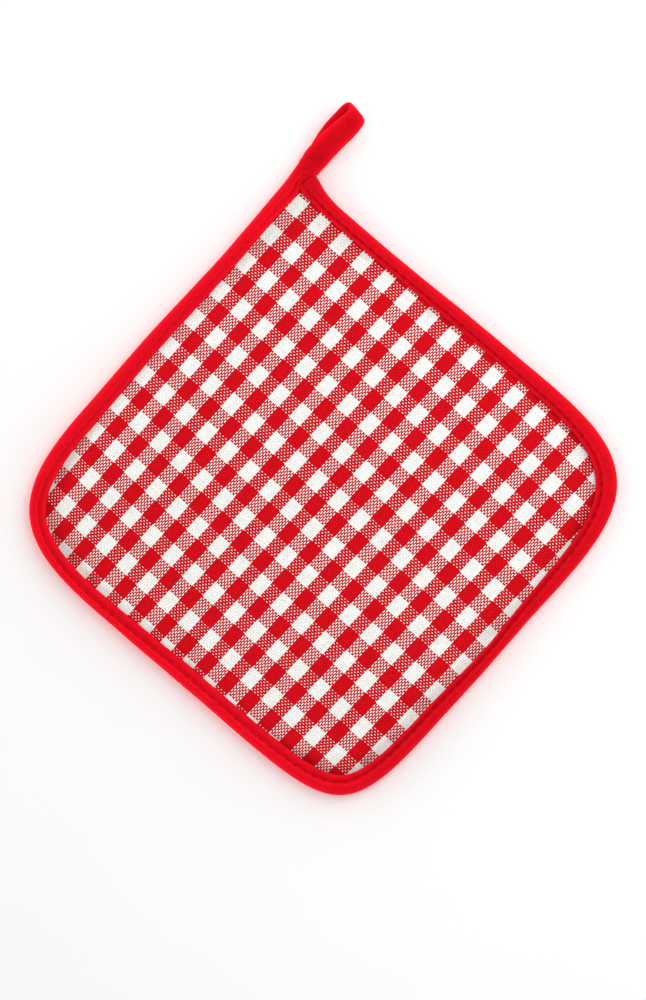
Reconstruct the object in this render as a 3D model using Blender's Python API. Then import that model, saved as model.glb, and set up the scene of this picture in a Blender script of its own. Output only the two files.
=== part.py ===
"""Square pot holder with a padded checked front, a plain back, a bound edge and a hanging loop.

The holder lies on its back. The origin is at the middle of the pad on the surface that it rests on,
+X and +Y run along the pad's sides, and +Z points out of the checked front.
"""

import math

import bmesh
import bpy
import numpy as np
from mathutils import Vector
from mathutils.geometry import interpolate_bezier

MM = 0.001

# Heights of the layers above the surface, in millimetres, from the bottom up
LIP_UNDER_TOP = 0.9  # top of the binding's lower lip
GAP = 0.3  # clearance between neighbouring pieces
BACK_EDGE_UNDER = LIP_UNDER_TOP + GAP
BACK_TOP = 2.3
FRONT_UNDER = BACK_TOP + GAP
FRONT_EDGE_TOP = 3.8  # the front panel where the binding holds it
CHANNEL_TOP = FRONT_EDGE_TOP + GAP
GROOVE_TOP = 4.9  # the binding along its line of stitches
LIP_TOP = 5.25
ROLL_TOP = 6.2  # the puffed fold outside the stitches
CROWN_TOP = 8.0  # the flat middle of the padded front

# Distances inwards from the outer edge, in millimetres
CHANNEL_END = 1.3  # wall of the binding's fold
PANEL_INSET = CHANNEL_END + GAP
GROOVE_IN = 2.2  # stitches, out from the lip's inner edge
CROWN_START = 7.2  # the panels leave the binding here, in from their own edge
CROWN_RUN = 33.0  # and the front reaches its full height this much further in
BACK_RUN = 6.0  # the back comes down to the surface over this run

# The pad's corners, where its side lines would meet. Clockwise from the lower left, in millimetres.
# reach: length of each side that the bend takes up. pull: how far its handles go towards the corner.
# band: visible width of the binding at the corner.
CORNER_COLUMNS = ("name", "x", "y", "reach", "pull", "band")
CORNERS = (
    ("lower_left", -101.3, -100.6, 60.5, 0.78, 6.8),
    ("upper_left", -99.9, 97.0, 5.0, 0.55, 7.0),
    ("upper_right", 101.7, 101.0, 61.0, 0.79, 9.0),
    ("lower_right", 99.4, -99.0, 60.0, 0.92, 8.4),
)
# Each side runs on from the corner in the same row. bow pushes its middle out, and wave pushes
# its first half out and its second half in. The bands are the binding's widths along it.
SIDE_COLUMNS = ("name", "bow", "wave", "band_first", "band_middle", "band_last")
SIDES = (
    ("left", -0.2, 0.65, 8.1, 7.3, 7.0),
    ("top", -0.4, -0.4, 6.3, 6.5, 7.4),
    ("right", 0.1, -0.3, 8.0, 6.4, 7.7),
    ("bottom", 0.0, -0.1, 7.9, 7.6, 6.6),
)
BEND_STEPS = 15  # stations round a bend
SHARP_STEPS = 4  # and round the sharp upper left corner
SIDE_STEPS = 9  # and between two bends

# One cut across the binding, from the lower edge of its fold over the top and back along the
# channel that holds the pad. inward counts from the outer edge, the stitches, the lip's inner
# edge or the channel's wall, in millimetres.
PROFILE_COLUMNS = ("place", "measured_from", "inward", "height")
PROFILE = (
    ("under_fold", "outer", 0.5, 0.6),
    ("outermost", "outer", 0.0, 2.6),
    ("shoulder", "outer", 0.4, 4.6),
    ("roll_rise", "outer", 1.4, 5.9),
    ("roll_top", "outer", 2.7, ROLL_TOP),
    ("roll_fall", "stitches", -0.9, 5.8),
    ("groove", "stitches", 0.0, GROOVE_TOP),
    ("lip_top", "lip", -1.0, LIP_TOP),
    ("lip_edge", "lip", 0.0, 4.9),
    ("lip_under", "lip", 0.0, CHANNEL_TOP),
    ("channel_roof", "channel", 0.3, CHANNEL_TOP),
    ("wall_top", "channel", 0.0, CHANNEL_TOP - 0.4),
    ("wall_foot", "channel", 0.0, LIP_UNDER_TOP + 0.4),
    ("channel_floor", "channel", 0.3, LIP_UNDER_TOP),
    ("lower_lip_top", "lip", 0.0, LIP_UNDER_TOP),
    ("lower_lip_under", "lip", 0.0, 0.0),
    ("rest_edge", "outer", 1.5, 0.0),
)

# The tape's two ends at the upper left corner. Each row is a cut across the tape, from its outer
# edge to the lip's inner edge. fill: how far the channel has closed past the pad's corner.
END_COLUMNS = ("outer_x", "outer_y", "inner_x", "inner_y", "fill")
TOP_START = (
    (-91.4, 100.7, -94.3, 93.1, 0.0),
    (-88.6, 99.8, -90.8, 91.9, 0.0),
    (-85.0, 98.4, -86.6, 91.4, 0.0),
    (-81.0, 97.8, -81.4, 91.3, 0.0),
)
LEFT_END = (
    (-100.0, 86.0, -92.8, 86.0, 0.0),
    (-100.2, 91.0, -92.6, 90.8, 0.0),
    (-100.4, 93.4, -95.1, 92.9, 0.0),
    (-100.7, 96.2, -94.3, 96.0, 0.0),
    (-100.9, 98.4, -93.2, 98.3, 1.0),
    (-101.0, 100.2, -92.3, 100.2, 1.0),
)
START_CLEAR_X = -79.0  # the regular sections begin to the right of this on the top side
END_CLEAR_Y = 82.0  # and end below this on the left side

# The hanging loop, the same tape folded flat: up from the corner, over the tip and back beneath.
# roll lifts the tape's left edge, and yaw draws its right edge back towards the pad, in degrees.
# A row without a height lies on the surface.
LOOP_COLUMNS = ("place", "x", "y", "z", "roll", "yaw", "width", "thick")
LOOP = (
    ("root", -96.6, 100.5, 4.05, 0.0, 0.0, 9.6, 3.1),
    ("neck", -96.7, 104.8, 3.6, 0.0, 0.0, 10.6, 2.0),
    ("rise", -96.7, 110.5, 4.9, 3.0, 0.0, 10.7, 1.7),
    ("upper", -96.3, 117.0, 8.0, 7.0, 0.0, 10.7, 1.7),
    ("crown", -95.4, 123.5, 10.6, 10.0, 2.0, 10.4, 1.7),
    ("over", -95.4, 128.0, 11.1, 10.0, 5.0, 10.2, 1.7),
    ("over_tip", -96.0, 131.3, 9.5, 10.0, 8.0, 9.8, 1.7),
    ("tip", -97.2, 132.3, 6.4, 9.0, 9.0, 9.6, 1.7),
    ("under_tip", -98.2, 131.0, 3.4, 8.0, 7.0, 10.0, 1.7),
    ("under", -98.8, 127.6, None, 8.0, 3.0, 10.2, 1.7),
    ("lower", -98.7, 120.5, None, 7.0, 0.0, 10.3, 1.7),
    ("lower_rise", -97.8, 114.0, None, 3.0, 0.0, 10.3, 1.7),
    ("flat", -96.9, 108.0, None, 0.0, 0.0, 10.2, 1.7),
    ("end", -96.6, 100.5, None, 0.0, 0.0, 10.0, 1.7),
)
LOOP_STEPS = 4  # sections from one row to the next
STRIP_SQUARENESS = 3.2  # 2 is an ellipse, and more is flatter
STRIP_POINTS = 12

# Share of the way from the panel's middle to its edge, for each ring of the surface
FRONT_RINGS = (1.0, 0.975, 0.95, 0.925, 0.9, 0.87, 0.83, 0.77, 0.69, 0.58)
BACK_RINGS = (1.0, 0.96, 0.925, 0.905, 0.885, 0.86)
PANEL_STEP = 2  # every second point of the outline is used for the panels

SHARP_ANGLE = 35.0  # edges that turn by more than this many degrees stay crisp

# Colours, roughness
CHECK_RED = (0.62, 0.05, 0.06)
PLAIN_RED = (0.62, 0.01, 0.03)
TAPE_RED = (0.75, 0.01, 0.03)
CLOTH_ROUGH = 0.9


def rows(columns, table):
    """The rows of a table as dictionaries."""
    return [dict(zip(columns, row)) for row in table]


def smooth(share):
    """0 to 1 with level ends."""
    share = min(max(share, 0.0), 1.0)
    return share * share * (3.0 - 2.0 * share)


def clear_scene():
    """An empty scene to model in."""
    for thing in list(bpy.data.objects):
        bpy.data.objects.remove(thing)


def material(name, colour):
    """A matt cloth of one colour."""
    cloth = bpy.data.materials.new(name)
    cloth.use_nodes = True
    shader = cloth.node_tree.nodes["Principled BSDF"]
    shader.inputs["Base Color"].default_value = (*colour, 1.0)
    shader.inputs["Roughness"].default_value = CLOTH_ROUGH
    shader.inputs["Metallic"].default_value = 0.0
    return cloth


def bend(corner, before, after):
    """Points round one corner of the pad, from the side before it to the side after it."""
    apex = Vector((corner["x"], corner["y"], 0.0))
    first = apex + (before - apex).normalized() * corner["reach"]
    last = apex + (after - apex).normalized() * corner["reach"]
    steps = SHARP_STEPS if corner["name"] == "upper_left" else BEND_STEPS
    return interpolate_bezier(
        first,
        first.lerp(apex, corner["pull"]),
        last.lerp(apex, corner["pull"]),
        last,
        steps + 1,
    )


def outline():
    """The pad's outer edge, clockwise: (point, outward direction, band) for each station."""
    corners = rows(CORNER_COLUMNS, CORNERS)
    sides = rows(SIDE_COLUMNS, SIDES)
    apexes = [Vector((c["x"], c["y"], 0.0)) for c in corners]
    bends = [bend(c, apexes[i - 1], apexes[(i + 1) % 4]) for i, c in enumerate(corners)]
    points = []
    places = []
    widths = []
    for i, (corner, side) in enumerate(zip(corners, sides)):
        places.append(len(points) + (len(bends[i]) - 1) / 2)
        widths.append(corner["band"])
        points += bends[i]
        start = bends[i][-1]
        stop = bends[(i + 1) % 4][0]
        along = (stop - start).normalized()
        out = Vector((-along.y, along.x, 0.0))
        for share, name in ((0.0, "band_first"), (0.5, "band_middle"), (1.0, "band_last")):
            places.append(len(points) - 1 + share * SIDE_STEPS)
            widths.append(side[name])
        for k in range(1, SIDE_STEPS):
            share = k / SIDE_STEPS
            arch = math.sin(math.pi * share)
            push = side["bow"] * arch**2 + side["wave"] * math.sin(2 * math.pi * share) * arch
            points.append(start.lerp(stop, share) + out * push)
    bands = np.interp(range(len(points)), places, widths, period=len(points))
    stations = []
    for i, point in enumerate(points):
        run = (points[(i + 1) % len(points)] - points[i - 1]).normalized()
        stations.append((point, Vector((-run.y, run.x, 0.0)), float(bands[i])))
    return stations


def mesh_object(name, mesh, cloth, collection):
    """A new object in its collection, smooth where it is round."""
    made = bpy.data.objects.new(name, mesh)
    collection.objects.link(made)
    mesh.materials.append(cloth)
    mesh.shade_smooth()
    mesh.set_sharp_from_angle(angle=math.radians(SHARP_ANGLE))
    return made


def skin(name, sections, cloth, collection):
    """A closed body over sections of equal counts of points, each one a ring, with flat ends."""
    shape = bmesh.new()
    loops = [[shape.verts.new(Vector(p) * MM) for p in section] for section in sections]
    count = len(loops[0])
    for here, there in zip(loops, loops[1:]):
        for k in range(count):
            n = (k + 1) % count
            shape.faces.new((here[k], here[n], there[n], there[k]))
    shape.faces.new(list(reversed(loops[0])))
    shape.faces.new(loops[-1])
    bmesh.ops.recalc_face_normals(shape, faces=shape.faces)
    mesh = bpy.data.meshes.new(name)
    shape.to_mesh(mesh)
    shape.free()
    return mesh_object(name, mesh, cloth, collection)


def tape_section(outer, inner, fill=0.0):
    """One cut across the binding between two points of the plan. fill closes the channel."""
    band = (inner - outer).length
    inward = (inner - outer).normalized()
    open_width = band - CHANNEL_END - GAP
    starts = {
        "outer": 0.0,
        "stitches": band - GROOVE_IN,
        "lip": band,
        "channel": CHANNEL_END + open_width * fill,
    }
    section = []
    for row in rows(PROFILE_COLUMNS, PROFILE):
        place = outer + inward * (starts[row["measured_from"]] + row["inward"])
        section.append((place.x, place.y, row["height"]))
    return section


def end_sections(table):
    """Cuts across one end of the tape."""
    return [
        tape_section(
            Vector((row["outer_x"], row["outer_y"], 0.0)),
            Vector((row["inner_x"], row["inner_y"], 0.0)),
            row["fill"],
        )
        for row in rows(END_COLUMNS, table)
    ]


def binding_sections(stations):
    """Cuts from the tape's start on the top side, clockwise round the pad, to its end on the left."""
    top_left = [
        i for i, (p, _, _) in enumerate(stations) if p.x < START_CLEAR_X and p.y > END_CLEAR_Y
    ]
    first = top_left[-1] + 1
    round_the_pad = (stations[first:] + stations[:first])[: -len(top_left)]
    sides = [tape_section(p, p - out * band) for p, out, band in round_the_pad]
    return end_sections(TOP_START) + sides + end_sections(LEFT_END)


def from_edge(point, edge):
    """The shortest way from a point to the panel's edge."""
    here = np.array(point[:2])
    starts = np.array([p[:2] for p in edge])
    runs = np.roll(starts, -1, axis=0) - starts
    shares = ((here - starts) * runs).sum(1) / (runs * runs).sum(1)
    nearest = starts + np.clip(shares, 0.0, 1.0)[:, None] * runs
    return float(np.linalg.norm(nearest - here, axis=1).min())


def front_height(depth):
    """The padded front rises from the binding to its flat middle."""
    share = min(max((depth - CROWN_START) / CROWN_RUN, 0.0), 1.0)
    return FRONT_EDGE_TOP + (CROWN_TOP - FRONT_EDGE_TOP) * (1.0 - (1.0 - share) ** 3)


def back_height(depth):
    """The back steps down past the binding's lower lip and lies flat."""
    return BACK_EDGE_UNDER * (1.0 - smooth((depth - CROWN_START) / BACK_RUN))


def panel(name, edge, shares, flat_height, height, cloth, collection):
    """A panel with one flat face at flat_height, and rings that follow height on the other."""
    sections = [[(p.x, p.y, flat_height) for p in edge]]
    for share in shares:
        ring = [p * share for p in edge]
        sections.append([(p.x, p.y, height(from_edge(p, edge))) for p in ring])
    return skin(name, sections, cloth, collection)


def strip_section(centre, along, roll, yaw, width, thick):
    """One cut across the loop's tape: a flat rounded bar, turned by roll and yaw."""
    side = Vector((math.cos(roll) * math.cos(yaw), -math.sin(yaw), -math.sin(roll)))
    side = (side - along * side.dot(along)).normalized()
    up = side.cross(along).normalized()
    points = []
    for k in range(STRIP_POINTS):
        turn = 2 * math.pi * (k + 0.5) / STRIP_POINTS
        c, s = math.cos(turn), math.sin(turn)
        across = math.copysign(abs(c) ** (2 / STRIP_SQUARENESS), c) * width / 2
        lift = math.copysign(abs(s) ** (2 / STRIP_SQUARENESS), s) * thick / 2
        point = centre + side * across + up * lift
        points.append((point.x, point.y, max(point.z, 0.0)))
    return points


def through(values, place):
    """A smooth curve through a row of numbers, read at a place between them."""
    i = min(int(place), len(values) - 2)
    t = place - i
    before = values[i - 1] if i else 2 * values[0] - values[1]
    after = values[i + 2] if i + 2 < len(values) else 2 * values[-1] - values[-2]
    a, b = values[i], values[i + 1]
    slope_a, slope_b = (b - before) / 2, (after - a) / 2
    return (
        a * (2 * t**3 - 3 * t**2 + 1)
        + slope_a * (t**3 - 2 * t**2 + t)
        + b * (3 * t**2 - 2 * t**3)
        + slope_b * (t**3 - t**2)
    )


def loop_sections():
    """Cuts along the loop's tape, from the root over the tip to the end beneath."""
    table = rows(LOOP_COLUMNS, LOOP)
    for row in table:
        row["roll"] = math.radians(row["roll"])
        row["yaw"] = math.radians(row["yaw"])
        if row["z"] is None:
            row["z"] = row["thick"] / 2 + row["width"] / 2 * math.sin(row["roll"])
    columns = {c: [row[c] for row in table] for c in LOOP_COLUMNS[1:]}
    count = (len(table) - 1) * LOOP_STEPS
    read = [
        {c: through(values, k / LOOP_STEPS) for c, values in columns.items()}
        for k in range(count + 1)
    ]
    centres = [Vector((r["x"], r["y"], r["z"])) for r in read]
    sections = []
    for k, r in enumerate(read):
        along = (centres[min(k + 1, count)] - centres[max(k - 1, 0)]).normalized()
        if k in (0, count):
            along = Vector((0.0, math.copysign(1.0, along.y), 0.0))
        turns = (r["roll"], r["yaw"])
        sections.append(strip_section(centres[k], along, *turns, r["width"], r["thick"]))
    return sections


def build():
    """The pot holder's four pieces, in one collection."""
    clear_scene()
    holder = bpy.data.collections.new("pot_holder")
    bpy.context.scene.collection.children.link(holder)
    stations = outline()
    edge = [p - out * PANEL_INSET for p, out, _ in stations][::PANEL_STEP]
    panel(
        "front_panel",
        edge,
        FRONT_RINGS,
        FRONT_UNDER,
        front_height,
        material("checked_cloth", CHECK_RED),
        holder,
    )
    panel(
        "back_panel",
        edge,
        BACK_RINGS,
        BACK_TOP,
        back_height,
        material("back_cloth", PLAIN_RED),
        holder,
    )
    tape = material("red_tape", TAPE_RED)
    skin("binding", binding_sections(stations), tape, holder)
    skin("hanging_loop", loop_sections(), tape, holder)


build()
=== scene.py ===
# %% [markdown]
# A checked pot holder in red tape
#
# The frame is a padded square: a checked cotton front, a plain back, a folded tape round the edge
# and the tape's own tail as a hanging loop. Four solids of the right size stand for them. This
# lesson dresses the solids in cloth. Everything is in the frame's own coordinates, so a piece is
# made where its solid is, and nothing is fitted afterwards.

# %% Load the frame
import math

import bmesh
import bpy
import numpy as np
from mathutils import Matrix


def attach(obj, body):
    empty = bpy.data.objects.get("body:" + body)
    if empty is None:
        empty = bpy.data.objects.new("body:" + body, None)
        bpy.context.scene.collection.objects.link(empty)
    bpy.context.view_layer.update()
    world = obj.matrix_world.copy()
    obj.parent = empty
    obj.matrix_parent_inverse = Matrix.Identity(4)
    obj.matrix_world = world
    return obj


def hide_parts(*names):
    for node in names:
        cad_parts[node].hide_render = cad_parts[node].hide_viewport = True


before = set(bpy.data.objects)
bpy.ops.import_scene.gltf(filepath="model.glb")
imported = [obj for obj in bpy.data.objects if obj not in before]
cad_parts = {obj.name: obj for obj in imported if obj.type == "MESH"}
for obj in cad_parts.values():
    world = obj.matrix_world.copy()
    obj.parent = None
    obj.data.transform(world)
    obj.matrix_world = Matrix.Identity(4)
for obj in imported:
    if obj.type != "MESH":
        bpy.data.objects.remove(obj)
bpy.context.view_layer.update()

MM = 0.001
BODY = "root"
print("solids:", ", ".join(sorted(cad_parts)))

# %% [markdown]
# Formulas as nodes
#
# A weave is arithmetic: which thread is on top, how red it is, how far it is from a gap. In the
# node editor that is dozens of Math nodes. A small class that wraps a socket and takes plus, minus
# and times lets the same arithmetic be written as a formula. The class serves shaders and Geometry
# Nodes alike, because both have the same Math node.


# %% A socket that can stand in a formula
class Value:
    """One output socket of a recipe."""

    def __init__(self, recipe, socket):
        self.recipe = recipe
        self.socket = socket

    def math(self, operation, *others):
        return self.recipe.add("ShaderNodeMath", {"operation": operation}, [self, *others])

    def __add__(self, other):
        return self.math("ADD", other)

    __radd__ = __add__

    def __mul__(self, other):
        return self.math("MULTIPLY", other)

    __rmul__ = __mul__

    def __sub__(self, other):
        return self.math("SUBTRACT", other)

    def __rsub__(self, other):
        return self.recipe.add("ShaderNodeMath", {"operation": "SUBTRACT"}, [other, self])

    def __truediv__(self, other):
        return self.math("DIVIDE", other)

    def __pow__(self, other):
        return self.math("POWER", other)

    def __abs__(self):
        return self.math("ABSOLUTE")


class Recipe:
    """A node tree, filled one node at a time."""

    def __init__(self, tree):
        self.tree = tree

    def add(self, kind, settings=None, sockets=None, output=0):
        """A new node: its settings first, then its values or links, then the output asked for."""
        node = self.tree.nodes.new(kind)
        for name, value in (settings or {}).items():
            setattr(node, name, value)
        pairs = enumerate(sockets) if isinstance(sockets, list) else (sockets or {}).items()
        for key, value in pairs:
            if isinstance(value, Value):
                self.tree.links.new(value.socket, node.inputs[key])
            else:
                node.inputs[key].default_value = value
        return Value(self, node.outputs[output])

    def step(self, value, low, high, first=0.0, last=1.0):
        """first below low, last above high, and a soft change between."""
        ends = {"Value": value, "From Min": low, "From Max": high, "To Min": first, "To Max": last}
        return self.add("ShaderNodeMapRange", {"interpolation_type": "SMOOTHSTEP"}, ends)

    def blend(self, share, first, last):
        """One colour or the other, by a share."""
        return self.add("ShaderNodeMix", {"data_type": "RGBA"}, {0: share, 6: first, 7: last}, output=2)

    def shade(self, colour, amount):
        """A colour made darker or lighter by a number."""
        colour = colour if isinstance(colour, Value) else colour[:3]
        return self.add("ShaderNodeVectorMath", {"operation": "SCALE"}, {0: colour, 3: amount})

    def vector(self, x, y, z=0.0):
        return self.add("ShaderNodeCombineXYZ", None, [x, y, z])

    def noise(self, where, scale, detail=2.0):
        """A soft random number around 0.5."""
        wanted = {"Vector": where, "Scale": scale, "Detail": detail}
        return self.add("ShaderNodeTexNoise", {"noise_dimensions": "3D"}, wanted)


print("formula helpers: Value and Recipe")

# %% [markdown]
# The pad's outline
#
# A sewn square is never quite square. Three corners are wide bends, the fourth is where the tape
# turns into the loop, and the sides bow a little. The sizes are those of the solids: where two side
# lines would meet, how far a bend reaches along them, how strongly it is pulled into the corner,
# and how wide the tape shows. The seam isn't even either: the lip inside it is wide on the left,
# where the seam hardly pulls, and narrow on the right, where it pulls deepest. The tape's red is
# painted paler on the left and at the bottom: painted light, as if the light there were stronger.


# %% Outline of the pad
# band: how wide the tape shows. lip: the part of it inside the seam. dip: how deep the seam pulls.
# pale: painted light, how much lighter the tape's red is painted there, from 0 to 1.
CORNER_COLUMNS = ("name", "x", "y", "reach", "pull", "band", "lip", "dip", "pale")
CORNERS = (
    ("lower_left", -101.3, -100.6, 60.5, 0.78, 6.9, 3.0, 0.3, 0.75),
    ("upper_left", -99.9, 97.0, 5.0, 0.55, 7.0, 2.2, 0.3, 0.5),
    ("upper_right", 101.7, 101.0, 61.0, 0.79, 8.9, 2.1, 0.9, 0.34),
    ("lower_right", 99.4, -99.0, 60.0, 0.92, 8.5, 2.9, 0.8, 0.55),
)
SIDE_COLUMNS = ("name", "bow", "wave", "band_first", "band_middle", "band_last", "lip", "dip", "pale")
SIDES = (
    ("left", -0.2, 0.65, 7.8, 7.0, 6.7, 2.6, 0.0, 0.66),
    ("top", -0.4, -0.4, 6.6, 6.8, 7.7, 1.8, 0.8, 0.42),
    ("right", 0.1, -0.3, 7.6, 6.0, 7.3, 2.2, 1.15, 0.3),
    ("bottom", 0.0, -0.1, 8.5, 8.2, 7.2, 4.1, 0.7, 0.8),
)
OUTLINE_STEPS = 60


def rows(columns, table):
    """The rows of a table as dictionaries."""
    return [dict(zip(columns, row)) for row in table]


def unit(vectors):
    return vectors / np.linalg.norm(vectors, axis=-1, keepdims=True)


def smooth(share):
    """0 to 1 with level ends."""
    share = np.clip(share, 0.0, 1.0)
    return share * share * (3.0 - 2.0 * share)


def bend(corner, before, after):
    """Points round one corner, from the side before it to the side after it."""
    apex = np.array((corner["x"], corner["y"]))
    first = apex + unit(before - apex) * corner["reach"]
    last = apex + unit(after - apex) * corner["reach"]
    t = np.linspace(0.0, 1.0, OUTLINE_STEPS + 1)[:, None]
    pull = corner["pull"]
    handles = (first, first + (apex - first) * pull, last + (apex - last) * pull, last)
    weights = ((1 - t) ** 3, 3 * t * (1 - t) ** 2, 3 * t**2 * (1 - t), t**3)
    return sum(w * h for w, h in zip(weights, handles))


def outline():
    """Points clockwise round the pad, the way out at each, and the tape's sizes there."""
    corners = rows(CORNER_COLUMNS, CORNERS)
    apexes = [np.array((c["x"], c["y"])) for c in corners]
    bends = [bend(c, apexes[i - 1], apexes[(i + 1) % 4]) for i, c in enumerate(corners)]
    points = []
    places = []
    sizes = []
    for i, side in enumerate(rows(SIDE_COLUMNS, SIDES)):
        places.append(len(points) + OUTLINE_STEPS / 2)
        sizes.append([corners[i][name] for name in ("band", "lip", "dip", "pale")])
        points.extend(bends[i])
        start = bends[i][-1]
        stop = bends[(i + 1) % 4][0]
        along = unit(stop - start)
        out = np.array((-along[1], along[0]))
        for share, name in ((0.0, "band_first"), (0.5, "band_middle"), (1.0, "band_last")):
            places.append(len(points) - 1 + share * OUTLINE_STEPS)
            sizes.append((side[name], side["lip"], side["dip"], side["pale"]))
        share = np.arange(1, OUTLINE_STEPS)[:, None] / OUTLINE_STEPS
        arch = np.sin(np.pi * share)
        push = side["bow"] * arch**2 + side["wave"] * np.sin(2 * np.pi * share) * arch
        points.extend(start + (stop - start) * share + out * push)
    points = np.array(points)
    count = len(points)
    spread = [np.interp(np.arange(count), places, column, period=count) for column in zip(*sizes)]
    run = unit(np.roll(points, -1, axis=0) - np.roll(points, 1, axis=0))
    return points, np.stack((-run[:, 1], run[:, 0]), 1), np.stack(spread, 1)


edge_points, edge_out, edge_sizes = outline()
widths = edge_sizes[:, 0]
print("outline:", len(edge_points), "points, the tape shows", widths.min(), "to", widths.max(), "mm")

# %% [markdown]
# One tape, from the edge into the loop
#
# The maker sews one bias tape round the pad, starting at the upper left corner, and folds the tail
# into the loop. So the binding and the loop are one mesh here. It is a loft: a closed cut across
# the tape, repeated every three quarters of a millimetre. On the pad the cut is a puffed roll, a
# groove where the stitches pull it down, and a thin lip, with a channel below for the pad. On the
# loop it is a flat bar. Both cuts have the same points in the same order, so one can turn into the
# other where the tape leaves the corner.

# %% The cut across the tape
CHANNEL_END = 1.3
GAP = 0.3
# place: what the point is. measured_from and inward: where it is across the tape, as a share of the
# roll or of the lip, or in millimetres from the channel's end. dips: how much of the seam's dip it
# takes. turn: the same point on the loop's flat bar, in degrees round it from its right edge.
CUT_COLUMNS = ("place", "measured_from", "inward", "height", "dips", "turn")
CUT = (
    ("lip_edge", "lip", 0.0, 4.5, 0.0, 2.0),
    ("lip_top", "lip", -0.2, 5.0, 0.0, 20.0),
    ("lip_crest", "lip", -0.55, 5.25, 0.25, 44.0),
    ("groove", "roll", 1.0, 5.2, 1.0, 62.0),
    ("roll_inner", "roll", 0.91, 5.5, 0.6, 76.0),
    ("roll_fall", "roll", 0.77, 6.05, 0.2, 90.0),
    ("roll_top", "roll", 0.54, 6.25, 0.0, 105.0),
    ("roll_rise", "roll", 0.26, 5.75, 0.0, 124.0),
    ("shoulder", "roll", 0.06, 4.6, 0.0, 148.0),
    ("outermost", "roll", 0.0, 3.0, 0.0, 180.0),
    ("under_fold", "roll", 0.05, 1.3, 0.0, 205.0),
    ("rest_rise", "roll", 0.17, 0.3, 0.0, 226.0),
    ("rest_edge", "roll", 0.35, 0.0, 0.0, 246.0),
    ("rest", "roll", 0.75, 0.05, 0.0, 272.0),
    ("groove_under", "roll", 1.0, 0.3, 0.0, 298.0),
    ("lower_lip_under", "lip", -0.45, 0.0, 0.0, 316.0),
    ("lower_lip_edge", "lip", 0.0, 0.35, 0.0, 336.0),
    ("lower_lip_top", "lip", -0.1, 0.9, 0.0, 341.0),
    ("channel_floor", "channel", 0.4, 0.9, 0.0, 345.0),
    ("wall_foot", "channel", 0.0, 1.6, 0.0, 348.0),
    ("wall_top", "channel", 0.0, 3.4, 0.0, 351.0),
    ("channel_roof", "channel", 0.4, 3.95, 0.0, 354.0),
    ("lip_under", "lip", -0.1, 3.95, 0.0, 358.0),
)
BETWEEN = 2  # fine points for each point of the cut


def rounding(count, between):
    """The weights that draw a smooth closed curve through a ring of points."""
    weights = np.zeros((count * between, count))
    for k in range(count * between):
        i, t = divmod(k, between)
        t /= between
        curve = (-t + 2 * t**2 - t**3, 2 - 5 * t**2 + 3 * t**3, t + 4 * t**2 - 3 * t**3, t**3 - t**2)
        for shift, weight in zip((-1, 0, 1, 2), curve):
            weights[k, (i + shift) % count] += weight / 2
    return weights


cut = rows(CUT_COLUMNS, CUT)
names = [row["place"] for row in cut]
ROUND = rounding(len(cut), BETWEEN)
TURNS = np.radians(np.interp(
    np.arange(len(cut) * BETWEEN) / BETWEEN,
    np.arange(len(cut) + 1),
    [row["turn"] for row in cut] + [362.0],
))
GROOVE_TOP = names.index("groove") * BETWEEN
GROOVE_UNDER = names.index("groove_under") * BETWEEN
OUTERMOST = names.index("outermost") * BETWEEN
print("cut:", len(TURNS), "points round the tape")

# %% Where the tape runs
# Each row is a cut across the tape at the corner, from its outer edge to the lip's inner edge.
# fill: how far the channel has closed past the pad's corner.
# pale: painted light on the tape's red, as in the outline's tables.
END_COLUMNS = ("outer_x", "outer_y", "inner_x", "inner_y", "lip", "dip", "pale", "fill")
LIP, DIP, PAINTED_PALE, FILL = [END_COLUMNS.index(name) for name in ("lip", "dip", "pale", "fill")]
TOP_START = (
    (-92.6, 101.1, -95.6, 92.6, 2.3, 0.2, 0.1, 0.0),
    (-89.0, 100.1, -91.2, 91.4, 2.2, 0.4, 0.1, 0.0),
    (-85.6, 98.6, -86.8, 91.1, 2.0, 0.6, 0.25, 0.0),
    (-81.0, 97.7, -81.4, 90.9, 1.8, 0.8, 0.42, 0.0),
)
LEFT_END = (
    (-100.0, 86.0, -92.8, 86.0, 2.4, 0.3, 0.6, 0.0),
    (-100.2, 91.0, -92.6, 90.8, 2.3, 0.5, 0.55, 0.0),
    (-100.4, 93.4, -95.1, 92.9, 1.6, 0.5, 0.45, 0.0),
    (-100.7, 96.2, -94.3, 96.0, 1.8, 0.2, 0.4, 0.0),
    (-100.9, 98.4, -93.2, 98.3, 2.0, 0.1, 0.1, 1.0),
    (-101.0, 100.2, -92.3, 100.2, 2.0, 0.1, 0.0, 1.0),
    (-101.3, 107.0, -91.6, 107.0, 2.0, 0.1, 0.0, 1.0),
)
START_CLEAR_X = -79.0
END_CLEAR_Y = 82.0
STATION = 0.75  # one cut of the loft to the next
SOFTEN = 6

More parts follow.
